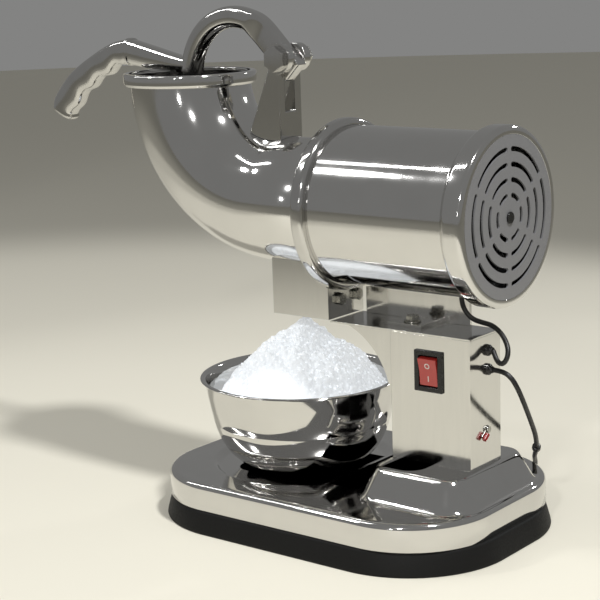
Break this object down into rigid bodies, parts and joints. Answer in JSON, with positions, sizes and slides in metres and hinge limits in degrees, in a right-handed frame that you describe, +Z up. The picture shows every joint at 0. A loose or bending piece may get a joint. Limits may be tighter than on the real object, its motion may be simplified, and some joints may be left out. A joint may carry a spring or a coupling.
{
  "type": "shaved ice machine",
  "caption": "Countertop ice shaver: curved steel hopper with a hinged lever press, round motor housing on a column, rocker switch, and a bowl on a rounded base.",
  "frame": {"origin": "middle of the base, on the surface it stands on", "axes": "+Z up, +X from the hopper towards the motor's air grille, -Y towards the switch"},
  "size_m": [0.4889, 0.2976, 0.42],
  "materials": {
    "bearing_steel": "ground",
    "black_cable": "smooth sheath",
    "black_plastic": "moulded",
    "black_rubber": "matte",
    "black_screw": "satin",
    "blade_steel": "ground",
    "bushing_brass": "machined",
    "cast_iron_plate": "machined",
    "copper_winding": "enamelled wire",
    "galvanised_steel": "satin",
    "grey_cover": "satin",
    "lamination_steel": "stacked sheets",
    "polished_aluminium": "mirror polished",
    "polished_steel": "mirror polished",
    "red_rocker": "translucent gloss",
    "red_sleeve": "gloss",
    "zinc_fastener": "bright zinc"
  },
  "bodies": {
    "stand": {"base_shell": "polished_steel", "rubber_foot": "black_rubber", "base_plate": "galvanised_steel", "base_posts": "galvanised_steel", "base_screws": "zinc_fastener", "column_shell": "polished_steel", "neck_plate": "polished_steel", "neck_gusset": "polished_steel", "discharge_chute": "polished_steel", "chute_bolts": "zinc_fastener", "motor_bracket": "polished_steel", "bracket_bolt": "zinc_fastener", "bracket_washer": "zinc_fastener", "bracket_nut": "zinc_fastener", "hopper_elbow": "polished_aluminium", "hopper_collar": "polished_aluminium", "clevis_bracket": "polished_aluminium", "pivot_bolt": "polished_aluminium", "pivot_nut": "zinc_fastener", "front_ring": "polished_aluminium", "front_plate": "cast_iron_plate", "motor_housing": "polished_steel", "end_ring": "polished_aluminium", "end_cover": "grey_cover", "cover_screw": "black_screw", "front_bearing": "bearing_steel", "rear_bearing": "bearing_steel", "rear_plate": "cast_iron_plate", "stator_core": "lamination_steel", "stator_winding": "copper_winding", "switch_body": "black_plastic", "upper_gland": "black_rubber", "lower_gland": "black_rubber", "motor_lead": "black_cable", "earth_lug": "zinc_fastener", "earth_sleeve": "red_sleeve", "earth_screw": "zinc_fastener", "capacitor": "grey_cover", "capacitor_clip": "galvanised_steel", "terminal_block": "black_plastic", "mains_cord": "black_cable", "cord_coil": "black_cable", "cord_tail": "black_cable", "cord_tie": "black_plastic", "plug_body": "black_plastic", "plug_pins": "zinc_fastener"},
    "rotor": {"motor_shaft": "bearing_steel", "rotor_core": "lamination_steel", "cooling_fan": "black_plastic", "blade_disc": "polished_steel", "shaving_blades": "blade_steel", "blade_screws": "zinc_fastener", "hub_nut": "zinc_fastener"},
    "lever": {"lever_arm": "polished_aluminium", "pivot_bushing": "bushing_brass", "lever_grip": "polished_aluminium", "presser_plate": "polished_aluminium", "presser_screw": "zinc_fastener"},
    "rocker": {"rocker": "red_rocker"},
    "bowl": {"bowl": "polished_steel"}
  },
  "joints": [
    {"name": "rotor_spin", "type": "hinge", "parent": "stand", "child": "rotor", "pos_m": [0, 0, 0.2626], "axis": [1, 0, 0], "continuous": true},
    {"name": "lever_pivot", "type": "hinge", "parent": "stand", "child": "lever", "pos_m": [-0.0555, 0, 0.3783], "axis": [0, 1, 0], "range_deg": [0, 100]},
    {"name": "rocker_tilt", "type": "hinge", "parent": "stand", "child": "rocker", "pos_m": [0.0915, -0.02, 0.1405], "axis": [1, 0, 0], "range_deg": [-18, 0]},
    {"name": "bowl_lift_out", "type": "slide", "parent": "stand", "child": "bowl", "axis": [0, -0.9806, 0.1961], "range_m": [0, 0.25]}
  ]
}
